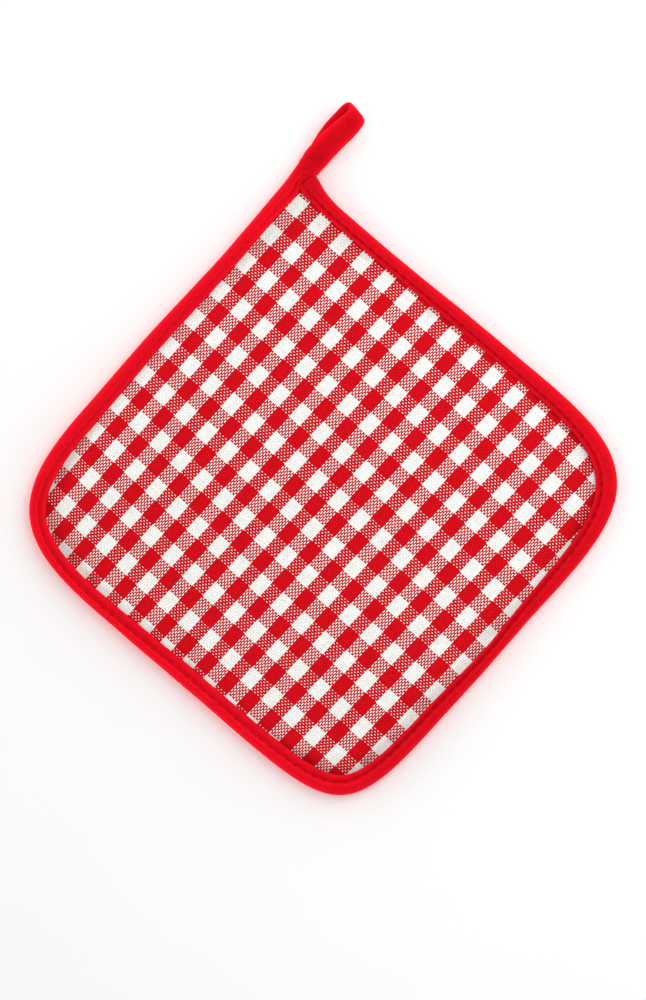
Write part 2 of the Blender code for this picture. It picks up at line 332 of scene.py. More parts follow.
# roll lifts the tape's left edge, and yaw draws its right edge back towards the pad, in degrees.
# A row without a height lies on the surface.
LOOP_COLUMNS = ("place", "x", "y", "z", "roll", "yaw", "width", "thick")
LOOP = (
    ("root", -96.6, 97.0, 4.5, 0.0, 0.0, 9.0, 3.4),
    ("hem", -96.6, 100.8, 4.05, 0.0, 0.0, 9.4, 3.1),
    ("neck", -96.7, 105.0, 3.6, 0.0, 0.0, 10.6, 2.0),
    ("rise", -96.7, 110.5, 4.9, 3.0, 0.0, 10.7, 1.7),
    ("upper", -96.3, 117.0, 8.0, 7.0, 0.0, 10.7, 1.7),
    ("crown", -95.4, 123.5, 10.6, 10.0, 2.0, 10.3, 1.7),
    ("over", -95.0, 128.0, 11.1, 10.0, 5.0, 9.4, 1.7),
    ("over_tip", -95.6, 131.3, 9.5, 10.0, 8.0, 9.2, 1.7),
    ("tip", -97.0, 132.4, 6.4, 11.0, 9.0, 9.4, 1.8),
    ("under_tip", -98.3, 131.0, 4.2, 20.0, 7.0, 9.9, 2.0),
    ("under", -98.7, 127.6, None, 25.0, 3.0, 10.1, 2.2),
    ("lower", -98.6, 120.5, None, 22.0, 0.0, 10.5, 2.1),
    ("lower_rise", -97.8, 114.0, None, 8.0, 0.0, 10.4, 1.8),
    ("flat", -96.9, 108.0, None, 0.0, 0.0, 10.2, 1.7),
    ("end", -96.6, 101.0, None, 0.0, 0.0, 10.0, 1.7),
)
LOOP_STEPS = 12
STRIP_SQUARENESS = 2.5  # 2 is an ellipse, and more is flatter
UNFOLD_FROM = 97.5  # the roll starts to flatten here
UNFOLD_TO = 106.0
STEP_UNDER = 100.4  # and its underside steps up here, to leave room for the tail
STEP_RUN = 0.8
LEFT_BLEND = math.radians(20)  # how far round the cut the step takes to start, on the left
RIGHT_BLEND = math.radians(12)
LOOP_PULL = 0.2  # on the loop the seam hardly pulls


def path_run(points):
    """How far along a path each of its points is."""
    hops = np.linalg.norm(np.diff(points, axis=0), axis=1)
    return np.concatenate(((0.0,), np.cumsum(hops)))


def even(table, reach, soften=0):
    """Rows of numbers at an even step along the path in their first columns, and softened."""
    run = path_run(table[:, :reach])
    at = np.linspace(0.0, run[-1], int(run[-1] / STATION) + 1)
    spread = np.stack([np.interp(at, run, column) for column in table.T], 1)
    for _ in range(soften):
        spread[1:-1] = (spread[:-2] + 2 * spread[1:-1] + spread[2:]) / 4
    return spread


def edge_plan():
    """A cut's places and sizes at each station, from the tape's start round to the corner."""
    away = (edge_points[:, 0] < START_CLEAR_X) & (edge_points[:, 1] > END_CLEAR_Y)
    first = np.flatnonzero(away).max() + 1
    inner = edge_points - edge_out * edge_sizes[:, :1]
    around = np.hstack((edge_points, inner, edge_sizes[:, 1:], np.zeros((len(inner), 1))))
    around = np.roll(around, -first, axis=0)[: -away.sum()]
    return even(np.vstack((TOP_START, around, LEFT_END)), 2, SOFTEN)


def loop_plan():
    """Centre, direction, tilt and size of the loop's tape at each station, root to end."""
    table = rows(LOOP_COLUMNS, LOOP)
    for row in table:
        if row["z"] is None:
            row["z"] = row["thick"] / 2 + row["width"] / 2 * math.sin(math.radians(row["roll"]))
    knots = np.array([[row[c] for c in LOOP_COLUMNS[1:]] for row in table])
    knots = np.vstack((2 * knots[0] - knots[1], knots, 2 * knots[-1] - knots[-2]))
    t = (np.arange(LOOP_STEPS) / LOOP_STEPS)[:, None]
    spans = [
        b + ((c - a) * t + (2 * a - 5 * b + 4 * c - d) * t**2 + (3 * b - a - 3 * c + d) * t**3) / 2
        for a, b, c, d in zip(knots, knots[1:], knots[2:], knots[3:])
    ]
    plan = even(np.vstack((*spans, knots[-2])), 3)
    return np.hstack((plan, unit(np.gradient(plan[:, :3], axis=0))))


def edge_rings(plan):
    """The cut of the binding at each station."""
    outer = plan[:, 0:2]
    inner = plan[:, 2:4]
    lip = plan[:, [LIP]]
    dip = plan[:, [DIP]]
    fill = plan[:, [FILL]]
    band = np.linalg.norm(inner - outer, axis=1)[:, None]
    starts = {
        "roll": (0.0 * band, band - lip),
        "lip": (band, lip),
        "channel": (CHANNEL_END + (band - CHANNEL_END - GAP) * fill, 1.0),
    }
    inward = np.hstack([
        starts[row["measured_from"]][0] + starts[row["measured_from"]][1] * row["inward"] for row in cut
    ])
    height = np.array([row["height"] for row in cut]) - dip * np.array([row["dips"] for row in cut])
    inward = inward @ ROUND.T
    height = height @ ROUND.T
    place = outer[:, None] + unit(inner - outer)[:, None] * inward[:, :, None]
    return np.dstack((place, height))


def strip_rings(plan):
    """The flat cut of the loop at each station."""
    roll = np.radians(plan[:, 3])
    yaw = np.radians(plan[:, 4])
    along = plan[:, 7:10]
    side = np.stack((np.cos(roll) * np.cos(yaw), -np.sin(yaw), -np.sin(roll)), 1)
    side = unit(side - along * (side * along).sum(1, keepdims=True))
    up = unit(np.cross(side, along))
    power = 2 / STRIP_SQUARENESS
    across = np.sign(np.cos(TURNS)) * np.abs(np.cos(TURNS)) ** power / 2
    lift = np.sign(np.sin(TURNS)) * np.abs(np.sin(TURNS)) ** power / 2
    rings = plan[:, None, :3] + side[:, None] * (across * plan[:, 5:6])[:, :, None]
    rings = rings + up[:, None] * (lift * plan[:, 6:7])[:, :, None]
    rings[:, :, 2] = np.maximum(rings[:, :, 2], 0.0)
    return rings


def tape_rings():
    """All the cuts, and at each the seam's pull, the tape's painted light and how far it is the loop.
    """
    edge = edge_plan()
    loop = loop_plan()
    rising = loop[: loop[:, 1].argmax()]
    beside = np.stack([np.interp(edge[:, 1], rising[:, 1], column) for column in rising.T], 1)
    at_corner = (edge[:, 0] < START_CLEAR_X) & (np.arange(len(edge)) > len(edge) / 2)
    top = smooth((edge[:, 1] - UNFOLD_FROM) / (UNFOLD_TO - UNFOLD_FROM)) * at_corner
    under = smooth((edge[:, 1] - STEP_UNDER) / STEP_RUN + 0.5) * at_corner
    below_left = smooth((TURNS - math.pi) / LEFT_BLEND)
    below_right = smooth((2 * math.pi - TURNS) / RIGHT_BLEND)
    share = top[:, None] + (under - top)[:, None] * (below_left * below_right)
    rings = edge_rings(edge)
    rings = rings + (strip_rings(beside) - rings) * share[:, :, None]
    kept = edge[:, 1] < UNFOLD_TO
    kept[: len(edge) // 2] = True
    rest = loop[np.flatnonzero(rising[:, 1] > UNFOLD_TO)[0]:]
    traits = np.column_stack((edge[kept][:, [DIP, PAINTED_PALE]], top[kept]))
    traits[:, :2] += (np.array((LOOP_PULL, 0.0)) - traits[:, :2]) * traits[:, 2:]
    traits = np.vstack((traits, np.tile((LOOP_PULL, 0.0, 1.0), (len(rest), 1))))
    return np.concatenate((rings[kept], strip_rings(rest))), traits.T


rings, (seam_pull, painted_paleness, looped) = tape_rings()
print("tape:", len(rings), "cuts, the seam pulls up to", round(seam_pull.max(), 2), "mm")

# %% [markdown]
# Coordinates that follow the cloth
#
# The weave has to turn the corners with the tape, so the mesh carries its own map: millimetres
# along the tape and millimetres round it. Three more numbers go on each point for the next step:
# how far along the seam it is, how far to the side of the stitches, and how deep they pull there.
# A fourth is painted light: how much paler the tape's red is painted, by side and along its folds.


# %% The tape as a mesh
FOLDED_END = 1.4  # the tape's first end is turned in, so it is rounded over this run
LEAST_ROUND = 0.03
MID_HEIGHT = 2.6
# Painted sheen: along the tape's folded edges its red is painted paler.
PAINTED_SHEEN_WIDTH = 2.2  # how far the pale of a fold reaches into the tape
PAINTED_SHEEN_ON_PAD = 0.25  # and how strong it is on the pad, against 1 on the loop


def in_scene(name, data):
    """A new object of this name in the scene."""
    made = bpy.data.objects.new(name, data)
    bpy.context.scene.collection.objects.link(made)
    return made


def finish_mesh(mesh, name):
    """Smooth faces that all point outwards, in an object of this name."""
    shape = bmesh.new()
    shape.from_mesh(mesh)
    bmesh.ops.recalc_face_normals(shape, faces=shape.faces)
    shape.to_mesh(mesh)
    shape.free()
    mesh.shade_smooth()
    return in_scene(name, mesh)


def float_layer(mesh, name, values):
    layer = mesh.attributes.new(name, "FLOAT", "POINT")
    layer.data.foreach_set("value", np.asarray(values, dtype=np.float32).ravel())


def make_tape(rings):
    """The loft with its map and its seam numbers."""
    count, around, _ = rings.shape
    run = path_run(rings[:, GROOVE_TOP])
    rounded = np.sqrt(1 - (1 - np.clip(run / FOLDED_END, LEAST_ROUND, 1.0)) ** 2)[:, None]
    shaped = rings.copy()
    shaped[:, :, 2] = MID_HEIGHT + (rings[:, :, 2] - MID_HEIGHT) * rounded
    closed = np.concatenate((rings, rings[:, :1]), axis=1)
    girth = np.linalg.norm(np.diff(closed, axis=1), axis=2)
    girth = np.hstack((np.zeros((count, 1)), np.cumsum(girth, axis=1)))
    i, k = np.meshgrid(np.arange(count - 1), np.arange(around), indexing="ij")
    n = (k + 1) % around
    quads = np.stack((i * around + k, (i + 1) * around + k, (i + 1) * around + n, i * around + n), -1)
    faces = quads.reshape(-1, 4).tolist()
    faces.append(list(range(around)))
    faces.append(list(range((count - 1) * around, count * around)))
    mesh = bpy.data.meshes.new("bound_tape")
    mesh.from_pydata((shaped.reshape(-1, 3) * MM).tolist(), [], faces)
    corners = np.stack([
        np.stack((run[a], girth[a, b]), -1) for a, b in ((i, k), (i + 1, k), (i + 1, k + 1), (i, k + 1))
    ], 2).reshape(-1, 2)
    corners = np.vstack((corners, np.zeros((2 * around, 2))))
    uv = mesh.uv_layers.new(name="tape")
    uv.data.foreach_set("uv", corners.astype(np.float32).ravel())
    aside = np.where(
        np.arange(around) <= OUTERMOST,
        girth[:, :-1] - girth[:, GROOVE_TOP][:, None],
        girth[:, GROOVE_UNDER][:, None] - girth[:, :-1],
    )
    float_layer(mesh, "seam_run", np.repeat(run, around))
    float_layer(mesh, "seam_aside", aside)
    float_layer(mesh, "seam_pull", np.repeat(seam_pull, around))
    # The pale number: painted light by side, plus painted sheen near the folded edges, full on the
    # loop.
    total = girth[:, -1:]
    from_outer = np.abs(girth[:, :-1] - girth[:, OUTERMOST][:, None])
    from_inner = np.minimum(girth[:, :-1], total - girth[:, :-1])
    near = np.exp(-(np.minimum(from_outer, from_inner) / PAINTED_SHEEN_WIDTH) ** 2)
    fold = PAINTED_SHEEN_ON_PAD + (1 - PAINTED_SHEEN_ON_PAD) * looped[:, None]
    float_layer(mesh, "pale", painted_paleness[:, None] + near * fold)
    return finish_mesh(mesh, "bound_tape"), run


tape, seam_run = make_tape(rings)
print("tape mesh:", len(tape.data.polygons), "faces, seam", round(seam_run[-1]), "mm long")

# %% [markdown]
# Stitches pull the tape in
#
# A machine stitch dips at every needle hole, and the tape puffs up a little between the holes. That
# is a rule along a path, which Geometry Nodes write well: a point moves along its normal by a
# dimple near each hole, a puff beside the seam and a slow unevenness of the hand. The tree reads
# the three seam numbers of the mesh, and every size is an input with a name.


# %% Relief from the seam
STITCH = 4.6 * MM  # one needle hole to the next
LEAST_PULL = 0.15  # the holes show a little even where the seam doesn't pull
DIMPLE_FALL = -1.4  # how fast a dimple fades beside the stitches
PUFF_PLACE = 2.4  # how far beside the stitches the puff is
PUFF_FALL = -0.35
HAND_SCALE = 70.0  # about one unevenness in 14 mm
HAND_FROM = 0.6  # none of it nearer the stitches than this
HAND_FULL = 2.5  # and all of it from here on


def new_tree(title, inputs):
    """A Geometry Nodes tree: a mesh in, a mesh out and named numbers, or a material for None."""
    tree = bpy.data.node_groups.new(title, "GeometryNodeTree")
    for way in ("OUTPUT", "INPUT"):
        tree.interface.new_socket(name="Geometry", in_out=way, socket_type="NodeSocketGeometry")
    for name, value in inputs.items():
        kind = "NodeSocketMaterial" if value is None else "NodeSocketFloat"
        made = tree.interface.new_socket(name=name, in_out="INPUT", socket_type=kind)
        if value is not None:
            made.default_value = value
    recipe = Recipe(tree)
    start = tree.nodes.new("NodeGroupInput")
    given = {socket.name: Value(recipe, socket) for socket in start.outputs if socket.name}
    return recipe, given


def end_tree(recipe, result):
    out = recipe.tree.nodes.new("NodeGroupOutput")
    recipe.tree.links.new(result.socket, out.inputs[0])
    return recipe.tree


def settle(thing, tree, values):
    """Runs a tree on an object and keeps the result as its plain mesh."""
    modifier = thing.modifiers.new(tree.name, "NODES")
    modifier.node_group = tree
    sockets = {s.name: s.identifier for s in tree.interface.items_tree if s.in_out == "INPUT"}
    for name, value in values.items():
        modifier[sockets[name]] = value
    seen = thing.evaluated_get(bpy.context.evaluated_depsgraph_get())
    mesh = bpy.data.meshes.new_from_object(seen)
    thing.modifiers.remove(modifier)
    thing.data = mesh
    return thing


def named(recipe, name, kind="FLOAT"):
    return recipe.add("GeometryNodeInputNamedAttribute", {"data_type": kind}, {"Name": name})


def relief_tree():
    r, given = new_tree("seam relief", {
        "Stitch": STITCH,
        "Dimple": 0.0,
        "Puff": 0.0,
        "Unevenness": 0.0,
        "Seed": 0.0,
    })
    run = named(r, "seam_run") * MM
    aside = named(r, "seam_aside")
    beat = (run / given["Stitch"] * math.pi).math("COSINE")
    at_hole = beat * beat
    pull = named(r, "seam_pull") + LEAST_PULL
    narrow = (aside * aside * DIMPLE_FALL).math("EXPONENT") * pull
    beside = aside - PUFF_PLACE
    wide = (beside * beside * PUFF_FALL).math("EXPONENT") * pull
    place = r.add("GeometryNodeInputPosition")
    wanted = {"Vector": place, "W": given["Seed"], "Scale": HAND_SCALE, "Detail": 2.0}
    hand = r.add("ShaderNodeTexNoise", {"noise_dimensions": "4D"}, wanted) - 0.5
    push = given["Puff"] * wide * (1 - at_hole) - given["Dimple"] * narrow * at_hole
    push = push + given["Unevenness"] * hand * 2.0 * r.step(abs(aside), HAND_FROM, HAND_FULL)
    normal = r.add("GeometryNodeInputNormal")
    offset = r.add("ShaderNodeVectorMath", {"operation": "SCALE"}, {0: normal, 3: push})
    moved = r.add("GeometryNodeSetPosition", None, {"Geometry": given["Geometry"], "Offset": offset})
    return end_tree(r, moved)


settle(tape, relief_tree(), {
    "Stitch": STITCH,
    "Dimple": 0.30 * MM,
    "Puff": 0.30 * MM,
    "Unevenness": 0.16 * MM,
    "Seed": 3.0,
})
spots = np.zeros(len(tape.data.vertices) * 3, dtype=np.float32)
tape.data.vertices.foreach_get("co", spots)
spots[2::3] = np.maximum(spots[2::3], 0.0)
tape.data.vertices.foreach_set("co", spots)
print("relief on", len(tape.data.vertices), "points of the tape")

# %% [markdown]
# The stitches
#
# Each stitch is a short arc of thread from one hole to the next, so it is made once and put on
# every hole, turned along the seam with its back to the cloth. The path is a thin line of points on
# the tape, above the groove and again under it, with the cloth's own normals.


# %% Stitches along the seam
THREAD = 0.34 * MM
THREAD_LIFT = 0.02 * MM
THREAD_STEPS = 6  # the steps along a stitch, and the sides of its thread
HALF_STITCH = 0.46  # as a share of the way from hole to hole
NO_STITCH = 4  # the cuts at the tape's start without a stitch, and one fewer at its end
SEAM_CLEAR = 0.4 * MM  # the seam's middle stays this far above the surface that the holder lies on


def seam_line(name, column, height):
    """The seam as a line of edges that remembers which way the cloth faces."""
    around = len(TURNS)
    mesh = tape.data
    normals = np.array([mesh.vertices[i * around + column].normal for i in range(len(rings))])
    points = np.array([mesh.vertices[i * around + column].co for i in range(len(rings))])
    inside = slice(NO_STITCH, len(rings) - NO_STITCH + 1)
    points = points[inside] + normals[inside] * height
    points[:, 2] = np.maximum(points[:, 2], SEAM_CLEAR)
    line = bpy.data.meshes.new(name)
    line.from_pydata(points.tolist(), [(k, k + 1) for k in range(len(points) - 1)], [])
    layer = line.attributes.new("facing", "FLOAT_VECTOR", "POINT")
    layer.data.foreach_set("vector", normals[inside].astype(np.float32).ravel())
    return in_scene(name, line)


def stitch_tree():
    r, given = new_tree("stitches", {
        "Stitch": STITCH,
        "Thread": THREAD,
        "Rise": 0.0,
        "Dip": 0.0,
        "Material": None,
    })
    path = r.add("GeometryNodeMeshToCurve", None, {"Mesh": given["Geometry"]})
    wanted = {"Curve": path, "Length": given["Stitch"]}
    path = r.add("GeometryNodeResampleCurve", {"mode": "LENGTH"}, wanted)
    half = given["Stitch"] * HALF_STITCH
    arc = r.add("GeometryNodeCurveQuadraticBezier", None, {
        "Resolution": THREAD_STEPS,
        "Start": r.vector(half * -1.0, 0.0, given["Dip"] * -1.0),
        "Middle": r.vector(0.0, 0.0, given["Rise"]),
        "End": r.vector(half, 0.0, given["Dip"] * -1.0),
    })
    wanted = {"Resolution": THREAD_STEPS, "Radius": given["Thread"] * 0.5}
    ring = r.add("GeometryNodeCurvePrimitiveCircle", None, wanted)
    wanted = {"Curve": arc, "Profile Curve": ring, "Fill Caps": True}
    thread = r.add("GeometryNodeCurveToMesh", None, wanted)
    axes = {"primary_axis": "Z", "secondary_axis": "X"}
    facing = named(r, "facing", "FLOAT_VECTOR")
    wanted = {"Primary Axis": facing, "Secondary Axis": r.add("GeometryNodeInputTangent")}
    turned = r.add("FunctionNodeAxesToRotation", axes, wanted)
    wanted = {"Points": path, "Instance": thread, "Rotation": turned}
    placed = r.add("GeometryNodeInstanceOnPoints", None, wanted)
    solid = r.add("GeometryNodeRealizeInstances", None, {"Geometry": placed})
    wanted = {"Geometry": solid, "Material": given["Material"]}
    return end_tree(r, r.add("GeometryNodeSetMaterial", None, wanted))


thread_cloth = bpy.data.materials.new("red thread")
sewing = stitch_tree()
seams = []
for name, column in (("seam_top", GROOVE_TOP), ("seam_under", GROOVE_UNDER)):
    seam = settle(seam_line(name, column, THREAD_LIFT), sewing, {
        "Stitch": STITCH,
        "Thread": THREAD,
        "Rise": 0.55 * MM,
        "Dip": 0.45 * MM,
        "Material": thread_cloth,
    })
    seams.append(seam)
    print(name, "faces:", len(seam.data.polygons))

# %% [markdown]
# The padded front
#
# The front is cotton over wadding, held all round under the tape. It could be drawn as a smooth
# crown, but a real pad settles unevenly, so the crown is only where it starts: a grid of squares
# bent to the pad's outline. Blender's cloth simulation then blows it up a little with its edge
# pinned. No point may move more than a millimetre, which keeps the front in its solid's place.

# %% A grid in the pad's outline
PANEL_INSET = CHANNEL_END + GAP
FRONT_UNDER = 2.6
FRONT_EDGE_TOP = 3.8
CROWN_TOP = 8.0
CROWN_START = 7.2
CROWN_RUN = 33.0
CROWN_POWER = 2.5
BACK_EDGE_UNDER = 1.2
BACK_TOP = 2.3
BACK_RUN = 6.0
GRID = 81  # points along each side of the grid, an odd number

panel_edge = edge_points - edge_out * PANEL_INSET


def panel_grid(count):
    """A square grid of points pushed out to the panel's edge, and how far each is from the edge."""
    middles = [OUTLINE_STEPS // 2 + 2 * OUTLINE_STEPS * c for c in range(4)]
    loop = np.roll(panel_edge, -middles[0], axis=0)
    loop = np.vstack((loop, loop[:1]))
    run = path_run(loop)
    stops = [run[m - middles[0]] for m in middles] + [run[-1]]
    a, b = np.meshgrid(*[np.linspace(-1, 1, count)] * 2)
    reach = np.maximum(np.abs(a), np.abs(b))
    safe = np.maximum(reach, 1e-9)
    turn = 3 + (1 - a / safe) / 2
    turn = np.where(a >= reach, 2 + (1 - b / safe) / 2, turn)
    turn = np.where(b >= reach, 1 + (a / safe + 1) / 2, turn)
    turn = np.where(a <= -reach, (b / safe + 1) / 2, turn)
    at = np.interp(turn, range(5), stops)
    plan = np.stack([np.interp(at, run, column) for column in loop.T], -1) * reach[..., None]
    flat = plan.reshape(-1, 2)
    runs = np.roll(panel_edge, -1, axis=0) - panel_edge
    share = ((flat[:, None] - panel_edge) * runs).sum(2) / (runs * runs).sum(1)
    near = panel_edge + np.clip(share, 0.0, 1.0)[:, :, None] * runs
    depth = np.linalg.norm(near - flat[:, None], axis=2).min(1)
    return flat, depth


def grid_faces(count):
    corner = np.arange(count * count).reshape(count, count)
    quads = (corner[:-1, :-1], corner[:-1, 1:], corner[1:, 1:], corner[1:, :-1])
    return np.stack(quads, -1).reshape(-1, 4)


def grid_rim(count):
    """The grid's outer points in order."""
    corner = np.arange(count * count).reshape(count, count)
    sides = (corner[0, :-1], corner[:-1, -1], corner[-1, :0:-1], corner[:0:-1, 0])
    return np.concatenate(sides)


def crown(depth):
    """The front's height at a distance from its edge: steepest beside the tape, and then flat."""
    left = 1 - np.clip((depth - CROWN_START) / CROWN_RUN, 0.0, 1.0)
    return CROWN_TOP - (CROWN_TOP - FRONT_EDGE_TOP) * left**CROWN_POWER


plan, depth = panel_grid(GRID)
print("front grid:", len(plan), "points, deepest", round(depth.max()), "mm from the edge")

# %% Settle the front with a cloth simulation
SETTLE_FRAMES = 20
SETTLE_LIMIT = 0.9
PINNED_DEPTH = 5.2


def settled(start, faces, pinned):
    """Where a light pressure takes the cloth, no further than the limit from its start."""
    mesh = bpy.data.meshes.new("settling")
    mesh.from_pydata((start * MM).tolist(), [], faces.tolist())
    cloth = in_scene("settling", mesh)
    group = cloth.vertex_groups.new(name="pinned")
    group.add(pinned.tolist(), 1.0, "REPLACE")
    physics = cloth.modifiers.new("Cloth", "CLOTH")
    physics.settings.quality = 6
    physics.settings.mass = 0.2
    physics.settings.vertex_group_mass = "pinned"
    physics.settings.shrink_min = -0.012
    physics.settings.use_pressure = True
    physics.settings.uniform_pressure_force = 0.25
    physics.settings.bending_stiffness = 0.2
    physics.settings.effector_weights.gravity = 0.0
    physics.point_cache.frame_end = SETTLE_FRAMES
    scene = bpy.context.scene
    for number in range(1, SETTLE_FRAMES + 1):
        scene.frame_set(number)
    seen = cloth.evaluated_get(bpy.context.evaluated_depsgraph_get())
    moved = np.zeros(len(start) * 3, dtype=np.float32)
    seen.to_mesh().vertices.foreach_get("co", moved)
    seen.to_mesh_clear()
    scene.frame_set(1)
    bpy.data.objects.remove(cloth)
    push = moved.reshape(-1, 3) / MM - start
    length = np.linalg.norm(push, axis=1, keepdims=True)
    print("moved", np.round([length.mean(), length.max()], 2), "mm on average and at most")
    return start + push * np.minimum(1.0, SETTLE_LIMIT / np.maximum(length, 1e-6))


front_start = np.column_stack((plan, crown(depth)))
front = settled(front_start, grid_faces(GRID), np.flatnonzero(depth < PINNED_DEPTH))

# %% [markdown]
# Closing the front and the back
#
# The simulated grid gives the unevenness only, and a finer grid takes it up, so the check lies
# smoothly. Each panel is then closed with a skirt and a flat inner face, because the wadding makes
# it a body and not a sheet. The skirt is out of sight in the tape's channel.

# %% Panels as closed bodies
FINE_GRID = 2 * GRID - 1
GRAIN_REACH = 100.0
# The check's threads lie a little askew on the pad. period: millimetres from one white check to the
# next. start: the check at the pad's middle. The rest is drift in millimetres at the reach: lean
# along the other thread, stretch across it, twist at the corners, bow along a thread, swell towards
# both ends and waist towards the corners.
GRAIN_COLUMNS = ("threads", "period", "start", "lean", "stretch", "twist", "bow", "swell", "waist")
GRAIN = (
    ("warp", 12.15, 0.502, -2.55, -0.80, -1.62, -0.12, -0.39, 0.60),
    ("weft", 16.32, -0.208, 1.82, -1.28, -0.89, 0.14, 0.70, 1.00),
)
WARP_COUNT = 7  # threads in a stripe
WEFT_COUNT = 8


def grain(plan):
    """The number of the warp and weft thread at each point of the pad, as fractions."""
    found = []
    for own, (g, count) in enumerate(zip(rows(GRAIN_COLUMNS, GRAIN), (WARP_COUNT, WEFT_COUNT))):
        p = plan[:, own] / GRAIN_REACH
        q = plan[:, 1 - own] / GRAIN_REACH
        drift = g["lean"] * q + g["stretch"] * p * p + g["twist"] * p * q + g["bow"] * q * q
        drift = drift + g["swell"] * p**3 + g["waist"] * p * q * q
        found.append(((plan[:, own] + drift) / g["period"] + g["start"]) * 2 * count + count / 2)
    return np.stack(found, -1)


def refined(field, count):
    """Numbers on a square grid, read at twice as fine a grid and softened."""
    grid = field.reshape(count, count, -1)
    fine = np.zeros((2 * count - 1, 2 * count - 1, grid.shape[2]))
    fine[::2, ::2] = grid
    fine[1::2] = (fine[:-2:2] + fine[2::2]) / 2
    fine[:, 1::2] = (fine[:, :-2:2] + fine[:, 2::2]) / 2
    for _ in range(2):
        beside = fine[:-2, 1:-1] + fine[2:, 1:-1] + fine[1:-1, :-2] + fine[1:-1, 2:]
        fine[1:-1, 1:-1] = (fine[1:-1, 1:-1] * 4 + beside) / 8
    return fine.reshape(-1, grid.shape[2])


def panel_body(name, points, inner_height):
    """A grid of points, closed by a skirt and one flat inner face."""
    count = FINE_GRID
    rim = grid_rim(count)
    skirt = points[rim].copy()
    skirt[:, 2] = inner_height
    first = len(points)
    n = len(rim)
    faces = grid_faces(count).tolist()
    faces += [[rim[k], first + k, first + (k + 1) % n, rim[(k + 1) % n]] for k in range(n)]
    faces.append(list(range(first, first + n)))
    every = np.vstack((points, skirt))
    mesh = bpy.data.meshes.new(name)
    mesh.from_pydata((every * MM).tolist(), [], faces)
    corners = np.zeros(len(mesh.loops), dtype=np.int32)
    mesh.loops.foreach_get("vertex_index", corners)
    uv = mesh.uv_layers.new(name="threads")
    uv.data.foreach_set("uv", grain(every[:, :2])[corners].astype(np.float32).ravel())
    return finish_mesh(mesh, name)


fine_plan, fine_depth = panel_grid(FINE_GRID)
front_points = np.column_stack((fine_plan, crown(fine_depth))) + refined(front - front_start, GRID)
front_cloth = panel_body("front_cloth", front_points, FRONT_UNDER)

back_height = BACK_EDGE_UNDER * (1.0 - smooth((fine_depth - CROWN_START) / BACK_RUN))
back_cloth = panel_body("back_cloth", np.column_stack((fine_plan, back_height)), BACK_TOP)
print("front:", len(front_cloth.data.polygons), "faces, back:", len(back_cloth.data.polygons), "faces")

# %% [markdown]
# The checked cotton
#
# Gingham is a plain weave of two colours of yarn in equal stripes, both ways. Where red crosses
# red it is solid, where white crosses white it is white, and in between the two show as dots. An
# image would do for a flat card. Here the weave is worked out from the thread numbers. Each thread
# is a rounded ridge that waves up and down, and the higher of the two shows. The weft is thinner
# than the warp and narrows where it dives, so white weft shows on a red column as short flat ovals.
# White warp shows on a red row as upright ones.

# %% Cloth materials
WHITE = (0.86, 0.85, 0.806, 1.0)
RED = (0.620, 0.0031, 0.0092, 1.0)
TAPE = (0.54, 0.0022, 0.0075, 1.0)
# The tape's red where its painted light and painted sheen are full.
TAPE_PAINTED_LIGHT = (0.83, 0.0050, 0.0170, 1.0)
THREAD_RED = (0.66, 0.0040, 0.0140, 1.0)
BACK = (0.52, 0.0040, 0.0105, 1.0)
SHEEN_RED = (1.0, 0.04, 0.07, 1.0)
CRIMP = 1.5  # how far a thread waves, against its own roundness
# Painted shade: the tape is painted darker in its needle holes, more where the seam pulls deeper.
HOLE_PAINTED_SHADE = 0.25  # how much darker the tape is in a needle hole
HOLE_NEAR = (0.955, 0.985)  # how close to a hole that starts, and where it is full
WEFT_TAPER = 1.8  # how much the check's weft narrows where it dives
# Half the width of the check's threads, as a share of the room for each. slub: what a thick place
# in the yarn adds.
WIDTH_COLUMNS = ("threads", "white", "red", "slub")
WIDTHS = (
    ("warp", 0.243, 0.43, 0.06),
    ("weft", 0.165, 0.35, 0.08),
)
PLAIN_WARP_HALF = 0.45
PLAIN_WEFT_HALF = 0.40


def cloth_shader(cloth, sheen, tint):
    """A matt surface with a constant sheen, and the recipe that feeds it."""
    cloth.use_nodes = True
    shader = cloth.node_tree.nodes["Principled BSDF"]
    fixed = {"Specular IOR Level": 0.02, "Sheen Weight": sheen, "Sheen Roughness": 0.45}
    for name, value in (*fixed.items(), ("Sheen Tint", tint)):
        shader.inputs[name].default_value = value
    return Recipe(cloth.node_tree), shader


def feed(recipe, shader, colour, rough, height, depth):
    """Colour, roughness and a bump from a height, into the shader."""
    bump = recipe.add("ShaderNodeBump", None, {"Height": height, "Distance": depth, "Strength": 0.6})
    for value, name in ((colour, "Base Color"), (rough, "Roughness"), (bump, "Normal")):
        recipe.tree.links.new(value.socket, shader.inputs[name])


def split(recipe, vector):
    return [recipe.add("ShaderNodeSeparateXYZ", None, [vector], output=k) for k in range(2)]


def stored(recipe, name):
    """A number that the mesh carries at each point."""
    return recipe.add("ShaderNodeAttribute", {"attribute_name": name}, output=2)


def ridge(coordinate, half):
    """How round a thread is: 1 on its middle line, 0 at its edge and far less beyond."""
    aside = (coordinate.math("FRACT") - 0.5) / half
    inside = 1 - aside * aside
    return inside + inside.math("MINIMUM", 0.0) * 4.0


